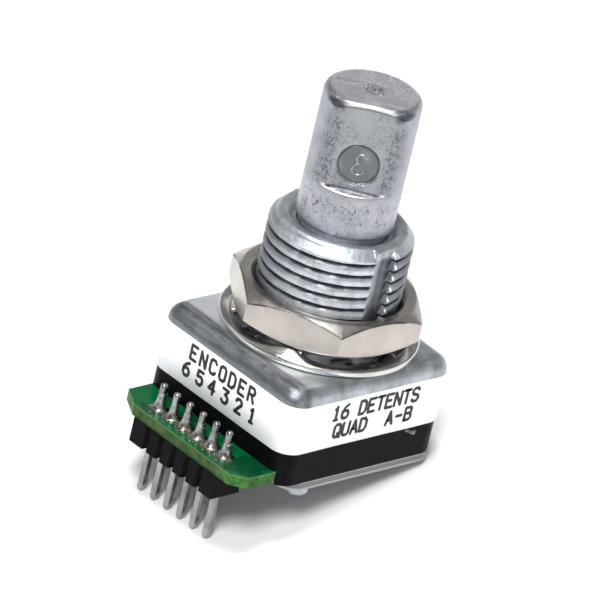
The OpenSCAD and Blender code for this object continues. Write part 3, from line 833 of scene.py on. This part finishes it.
def bushing_and_cap_material():
    """Darker as-cast zinc, crests and edges worn bright. Painted shade in the thread's grooves and the relief
    channels and towards the thread's left and right sides as the camera sees them, painted highlights on the
    thread ends and the cap's top face, and painted shade on the cap's rounded -Y edge.
    """
    t, base, _ = cast_zinc("cap_cast_zinc", (0.30, 0.325, 0.345), (0.53, 0.56, 0.59), 0.46)
    radius, z = (t.x * t.x + t.y * t.y).root(), t.z
    thread = t.band(z, 0.1, 0.2, 7.2, 7.4)
    on_cap = t.ramp(z, 0.1, 0.0)

    # Painted shade: the thread's grooves and the relief channels are darkened below the crest radius.
    base = t.mix(t.ramp(radius, 4.62, 4.3) * thread * 0.7, base, (0.12, 0.125, 0.145))
    sparkle = t.noise(0.5, 4, 0.6) * 0.5 + t.noise(0.07, 2, 0.6) * 0.5
    crest = t.band(radius, 4.62, 4.7, 4.9, 5.0) * t.ramp(sparkle, 0.36, 0.56)
    base = t.mix(crest, base, (0.68, 0.71, 0.76))
    land = t.ramp(z, 7.2, 7.35) * t.ramp(t.noise(0.4, 4, 0.7, stretch=(1, 1, 0.4)), 0.35, 0.65)
    base = t.mix(land * 0.8, base, (0.55, 0.58, 0.62))
    # Painted highlight: the slanted thread ends beside the channels are painted near white.
    burr_highlight = t.band(radius, 4.715, 4.735, 4.9, 5.0) * thread
    base = t.mix(burr_highlight, base, (0.97, 0.97, 0.98))

    streak = t.ramp(t.noise(1.1, 4, 0.6, distortion=0.6), 0.42, 0.66)
    base = t.mix(t.band(z, -0.75, -0.35, -0.2, -0.02) * streak * 0.4, base, (0.46, 0.48, 0.5))
    stain = t.ramp(t.noise(3.6, 4, 0.55, distortion=0.8), 0.45, 0.7) * on_cap
    base = t.mix(stain * 0.35, base, (0.10, 0.11, 0.125))
    # Painted highlight: the cap's top face is painted paler, most towards -X.
    painted_top_sheen = t.band(z, -0.06, -0.01, 0.0, 0.1) * t.ramp(t.x, 5.0, -1.0)
    base = t.mix(painted_top_sheen * 0.95, base, (0.88, 0.9, 0.94))
    # Painted shade: the thread darkens towards its left and right sides as the camera sees them, but not on
    # the painted thread-end highlights.
    painted_side_shade = t.ramp(abs(t.x * 0.74 + t.y * 0.67), 2.4, 4.4) * thread * 0.85
    base = t.mix(painted_side_shade - burr_highlight * painted_side_shade, base, (0.09, 0.1, 0.12))
    # Painted shade on the cap's rounded -Y edge, broken into streaks.
    shade_streaks = t.ramp(t.noise(0.35, 3, 0.6, stretch=(0.12, 1, 1)), 0.35, 0.62, 0.9, 0.55)
    shaded_edge = t.ramp(t.y, -6.0, -6.3) * on_cap * shade_streaks
    t.colour(t.mix(shaded_edge, base, (0.12, 0.13, 0.145)))
    return t.material


def nickel_material():
    """Nickel plate with a patchy painted shade line where the nut's upper chamfer meets its sides."""
    t = Tree("nickel_plate", Metallic=1.0)
    half = NUT_AF / 2
    base = t.mix(t.ramp(t.noise(2.4, 3, 0.5), 0.35, 0.7), (0.47, 0.43, 0.39), (0.55, 0.515, 0.475))
    across = 0.0
    for k in range(3):
        turn = math.radians(NUT_TURN + 30 + 60 * k)
        across = t.math("MAXIMUM", abs(t.x * math.cos(turn) + t.y * math.sin(turn)), across)
    drop = ((t.x * t.x + t.y * t.y).root() - half) / math.sqrt(3)
    off = abs(t.z - (NUT_HIGH[2] - 0.02) + drop)
    # Painted shade: a dark line along the edge where the upper chamfer meets the sides.
    chamfer_shade_line = t.ramp(off, 0.09, 0.04) * t.ramp(across, half - 0.1, half - 0.05)
    chamfer_shade_line = chamfer_shade_line * t.ramp(t.noise(1.3, 3, 0.6), 0.35, 0.55)
    t.colour(t.mix(chamfer_shade_line * 0.85, base, (0.06, 0.055, 0.05)))
    t.roughness(t.noise(0.5, 4, 0.6), 0.25, 0.38)
    scratch = t.noise(0.12, 2, 0.6, stretch=(1, 1, 0.12))
    t.bump(scratch, 0.003, t.bump(t.noise(1.1, 2, 0.5), 0.008))
    return t.material


def sheet_steel_material(name, low, high, rough, stretch=(1, 1, 1), grain=0.1, depth=0.003):
    """Drawn or rolled bright metal with fine lines along one direction."""
    t = Tree(name, Metallic=1.0)
    lines = t.noise(grain, 3, 0.6, stretch=stretch)
    t.colour(t.mix(t.ramp(t.noise(1.7, 3, 0.5), 0.35, 0.7), low, high))
    t.roughness(lines, rough - 0.06, rough + 0.08)
    t.bump(lines, depth)
    return t.material


def plate_material():
    """Blanked stainless sheet: the cut side is dull, its lower lip and the faces bright."""
    t = Tree("rolled_stainless", Metallic=1.0)
    lines = t.noise(0.1, 3, 0.6, stretch=(0.1, 1, 1))
    bottom, top = PLATE_LOW[2], PLATE_HIGH[2]
    side = t.band(t.z + t.noise(0.8, 3, 0.6) * 0.08, bottom + 0.14, bottom + 0.22, top - 0.06, top + 0.02)
    t.colour(t.mix(side, (0.36, 0.36, 0.36), (0.17, 0.17, 0.18)))
    t.roughness(lines, 0.28, 0.42)
    t.bump(lines, 0.003)
    return t.material


def plastic_material(name, colour, lighter, rough, grain=0.12, depth=0.006, **shader):
    """Moulded plastic with a fine skin and slight clouding."""
    t = Tree(name, **shader)
    t.colour(t.mix(t.ramp(t.noise(1.3, 4, 0.6), 0.35, 0.75), colour, lighter))
    t.roughness(t.noise(0.6, 3, 0.5), rough - 0.07, rough + 0.07)
    t.bump(t.noise(grain, 3, 0.6), depth)
    return t.material


def solder_material():
    """Bright solder, dull and brown with flux near the board."""
    t = Tree("solder_and_flux", Metallic=1.0)
    board = PCB_HIGH[2]
    clear = t.ramp(t.z + t.noise(0.25, 3, 0.6) * 0.6, board + 0.25, board + 0.75)
    tone = t.mix(t.ramp(t.noise(0.3, 3, 0.6), 0.35, 0.6), (0.22, 0.22, 0.22), (0.55, 0.56, 0.55))
    t.colour(t.mix(clear, (0.14, 0.115, 0.09), tone))
    t.roughness(t.noise(0.15, 3, 0.6), 0.15, 0.42)
    t.bump(t.noise(0.2, 4, 0.6), 0.03)
    return t.material


def flux_material():
    """Glossy residue, from clear green to brown."""
    t = Tree("dried_flux", Roughness=0.12, Coat_Weight=0.5)
    t.colour(t.mix(t.noise(0.3, 4, 0.6), (0.012, 0.04, 0.018), (0.06, 0.045, 0.014)))
    t.bump(t.noise(0.18, 3, 0.6), 0.02)
    return t.material


def board_material():
    """Green solder resist on top and below, bare glass laminate on the cut edges, with a painted highlight
    near the board's ends.
    """
    t = Tree("board_resist_and_laminate", Specular_IOR_Level=0.18)
    bottom, top = PCB_LOW[2], PCB_HIGH[2]
    normal = t.node("ShaderNodeTexCoord", {}, "Normal")
    face = t.ramp(abs(t.node("ShaderNodeSeparateXYZ", {0: normal}, "Z")), 0.4, 0.6)
    copper = t.ramp(t.noise(1.9, 1, 0.4), 0.47, 0.5)
    resist = t.mix(copper, (0.0005, 0.05, 0.017), (0.001, 0.09, 0.026))
    weave = t.noise(0.35, 4, 0.6, stretch=(0.5, 0.5, 1))
    cut = t.mix(t.ramp(weave, 0.35, 0.7), (0.007, 0.05, 0.009), (0.025, 0.1, 0.018))
    middle = t.ramp(abs(t.z - (bottom + top) / 2), 0.3, 0.12)
    olive = middle * t.ramp(t.noise(0.9, 3, 0.6), 0.46, 0.6)
    cut = t.mix(olive * 0.75, cut, (0.10, 0.10, 0.04))
    cut = t.mix(t.ramp(t.z, top - 0.14, top - 0.05) * 0.7, cut, (0.12, 0.23, 0.06))
    # Painted highlight: the cut edge turns light green near the board's ends.
    painted_end_highlight = t.ramp(abs(t.x), 3.7, 4.7) * t.ramp(t.noise(0.7, 3, 0.6), 0.35, 0.6)
    cut = t.mix(painted_end_highlight * 0.55, cut, (0.09, 0.30, 0.05))
    t.colour(t.mix(face, cut, resist))
    t.set("Roughness", face * -0.3 + t.ramp(weave, 0.3, 0.7, 0.5, 0.62))
    t.bump(weave * (1.0 - face), 0.02, t.bump(copper, 0.01))
    return t.material


def paper_material():
    t = Tree("white_label_film", Coat_Weight=0.15, Coat_Roughness=0.25)
    t.colour(t.mix(t.noise(2.0, 2, 0.5), (0.93, 0.94, 0.97), (0.96, 0.965, 0.98)))
    t.roughness(t.noise(0.4, 2, 0.5), 0.35, 0.5)
    t.bump(t.noise(0.9, 2, 0.5), 0.004)
    return t.material


def ink_material():
    t = Tree("black_print", Roughness=0.5)
    worn = t.noise(0.12, 2, 0.6)
    t.colour(t.mix(t.ramp(worn, 0.55, 0.75), (0.004, 0.004, 0.006), (0.035, 0.035, 0.045)))
    return t.material


def make_materials():
    steel, plastic = sheet_steel_material, plastic_material
    dark, resin = {"Specular_IOR_Level": 0.06}, {"Coat_Weight": 0.6}
    return {
        "zinc": bushing_and_cap_material(),
        "shaft": shaft_material(),
        "nickel": nickel_material(),
        "stainless": plate_material(),
        "solder": solder_material(),
        "flux": flux_material(),
        "board": board_material(),
        "paper": paper_material(),
        "ink": ink_material(),
        "washer": steel("bright_plated_steel", (0.55, 0.56, 0.54), (0.74, 0.75, 0.72), 0.2, grain=0.3),
        "tin": steel("tin_plate", (0.22, 0.22, 0.215), (0.38, 0.38, 0.37), 0.24, (1, 1, 0.2), 0.2, 0.01),
        "ball": steel("polished_ball", (0.62, 0.62, 0.64), (0.7, 0.7, 0.72), 0.1, grain=0.3, depth=0.001),
        "spring": steel("spring_wire", (0.3, 0.3, 0.32), (0.42, 0.42, 0.44), 0.3, grain=0.2),
        "dome": steel("dome_stainless", (0.5, 0.5, 0.5), (0.62, 0.62, 0.61), 0.25, (0.2, 1, 1)),
        "black": plastic("black_moulding", (0.002, 0.002, 0.003), (0.005, 0.005, 0.0065), 0.42, **dark),
        "header": plastic("black_header", (0.0015, 0.0015, 0.002), (0.004, 0.004, 0.005), 0.45,
                          0.16, 0.012, **dark),
        "pale_fleck": plastic("pale_plastic_fleck", (0.12, 0.12, 0.13), (0.3, 0.3, 0.31), 0.5),
        "acetal": plastic("natural_acetal", (0.74, 0.71, 0.62), (0.82, 0.8, 0.73), 0.35,
                          Subsurface_Weight=0.15),
        "code": plastic("black_code_drum", (0.01, 0.01, 0.012), (0.025, 0.025, 0.028), 0.5),
        "film": plastic("amber_film", (0.42, 0.17, 0.02), (0.55, 0.26, 0.04), 0.22, Coat_Weight=0.4),
        "emitter": plastic("violet_resin", (0.05, 0.03, 0.12), (0.09, 0.05, 0.2), 0.15, **resin),
        "detector": plastic("dark_resin", (0.01, 0.01, 0.02), (0.03, 0.03, 0.05), 0.15, **resin),
        "chip": plastic("chip_body", (0.02, 0.02, 0.025), (0.05, 0.05, 0.055), 0.4),
    }


FINISHES = {             # material of each CAD node; the pins and the solder joints are left to a rule
    "spring": "retaining_clip detent_spring_a detent_spring_b", "ball": "detent_ball_a detent_ball_b",
    "black": "lower_housing", "header": "header_body", "stainless": "back_plate", "film": "insulator",
    "board": "terminal_pcb", "acetal": "detent_rotor push_tip", "code": "code_rotor", "dome": "dome",
    "emitter": "emitter", "detector": "detector_a detector_b", "chip": "resistor_a resistor_b",
    "zinc": "housing_cap", "nickel": "hex_nut", "washer": "lockwasher", "shaft": "shaft", "paper": "label",
}
BEVELS = {"back_plate": 0.07, "header_body": 0.05, "terminal_pcb": 0.03, "lower_housing": 0.05}


def paint_cad_nodes(materials):
    """Every CAD node gets a finish; a few edges that show are broken with a small bevel."""
    finish = {name: kind for kind, names in FINISHES.items() for name in names.split()}
    for name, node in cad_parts.items():
        kind = finish.get(name) or ("tin" if name.startswith("pin") else "solder")
        node.data.materials.clear()
        node.data.materials.append(materials[kind])
        if name in BEVELS:
            soften = node.modifiers.new("broken_edge", "BEVEL")
            soften.width = BEVELS[name] * MM
            soften.segments = 2
            soften.limit_method = "ANGLE"
            soften.angle_limit = math.radians(40)


# ---------------- camera, floor and light

CAMERA_AZIMUTH = 41.961
CAMERA_ELEVATION = 26.781
CAMERA_ROLL = -13.44
CAMERA_DISTANCE = 0.6
CAMERA_LENS = 569.7
CAMERA_SHIFT = (-0.0303, 0.0453)
FLOOR_TILT = 15.15       # the encoder leans on its pins and on the heads of its rear posts
FLOOR_HALF = 8.0         # metres
WORLD_COLOUR = (0.96, 0.975, 1.0, 1)
LIGHTS = (               # name, direction it comes from, width in degrees, power
    ("overhead", (-0.05, -0.18, 0.97), 14, 1.6),
    ("front", (0.4, -0.81, 1.05), 22, 2.5),
    ("right", (0.85, -0.25, 0.9), 25, 0.15),
    ("left", (-0.85, -0.5, 0.5), 30, 0.2),
)


def make_camera():
    azimuth, elevation, roll = (math.radians(a) for a in (CAMERA_AZIMUTH, CAMERA_ELEVATION, CAMERA_ROLL))
    level_part = math.cos(elevation)
    back = Vector((math.sin(azimuth) * level_part, -math.cos(azimuth) * level_part, math.sin(elevation)))
    level = Vector((math.cos(azimuth), math.sin(azimuth), 0))
    rise = back.cross(level)
    right = level * math.cos(roll) - rise * math.sin(roll)
    up = level * math.sin(roll) + rise * math.cos(roll)
    data = bpy.data.cameras.new("camera")
    data.sensor_width = 36
    data.lens = CAMERA_LENS
    data.shift_x, data.shift_y = CAMERA_SHIFT
    data.clip_start, data.clip_end = 0.01, 20
    camera = added("camera", data)
    camera.matrix_world = Matrix((right, up, back)).transposed().to_4x4()
    camera.location = back * CAMERA_DISTANCE
    bpy.context.scene.camera = camera


def floor_up():
    """The floor's normal in the row frame."""
    tilt = math.radians(FLOOR_TILT)
    return Vector((0, -math.sin(tilt), math.cos(tilt)))


def make_floor():
    """A large pale surface under the pin tips and the rear post heads."""
    low = box_mm("pin_1")[0]
    tip = Vector((0, low[1], low[2] - 0.02)) * MM
    t = Tree("pale_floor", Roughness=0.6)
    t.colour(t.mix(t.noise(6.0, 2, 0.5), (0.9, 0.9, 0.905), (0.92, 0.92, 0.925)))
    mesh = bpy.data.meshes.new("floor")
    corners = [(x * FLOOR_HALF, y * FLOOR_HALF, 0) for x, y in ((-1, -1), (1, -1), (1, 1), (-1, 1))]
    mesh.from_pydata(corners, [], [(0, 1, 2, 3)])
    mesh.materials.append(t.material)
    floor = added("floor", mesh)
    floor.matrix_world = Matrix.Translation(tip) @ floor_up().to_track_quat("Z", "Y").to_matrix().to_4x4()


def soft_light(name, direction, spread, power):
    """A far soft box, as wide as spread degrees, seen from a direction in the row frame."""
    data = bpy.data.lights.new(name, "SUN")
    data.angle = math.radians(spread)
    data.energy = power
    light = added(name, data)
    light.rotation_mode = "QUATERNION"
    light.rotation_quaternion = Vector(direction).normalized().to_track_quat("Z", "Y")


def make_light():
    """White near the floor's horizon so that it has no visible edge, dim above, and four far soft boxes."""
    world = bpy.data.worlds.new("studio")
    world.use_nodes = True
    nodes, links = world.node_tree.nodes, world.node_tree.links
    background = nodes["Background"]
    background.inputs["Color"].default_value = WORLD_COLOUR
    climb = nodes.new("ShaderNodeVectorMath")
    climb.operation = "DOT_PRODUCT"
    links.new(nodes.new("ShaderNodeTexCoord").outputs["Generated"], climb.inputs[0])
    climb.inputs[1].default_value = floor_up()
    fade = nodes.new("ShaderNodeMapRange")
    fade.interpolation_type = "SMOOTHSTEP"
    for socket, value in (("From Min", 0.09), ("From Max", 0.18), ("To Min", 1.15), ("To Max", 0.23)):
        fade.inputs[socket].default_value = value
    links.new(climb.outputs["Value"], fade.inputs["Value"])
    links.new(fade.outputs["Result"], background.inputs["Strength"])
    bpy.context.scene.world = world
    for light in LIGHTS:
        soft_light(*light)
    view = bpy.context.scene.view_settings
    view.view_transform = "Standard"
    view.look = "None"


materials = make_materials()
paint_cad_nodes(materials)
make_cap(materials["zinc"])
make_nut(materials["nickel"])
make_washer(materials["washer"])
make_shaft(materials["shaft"])
make_label(materials["paper"], materials["ink"])
make_pale_fleck(materials["pale_fleck"])
make_terminals(materials)
make_camera()
make_floor()
make_light()
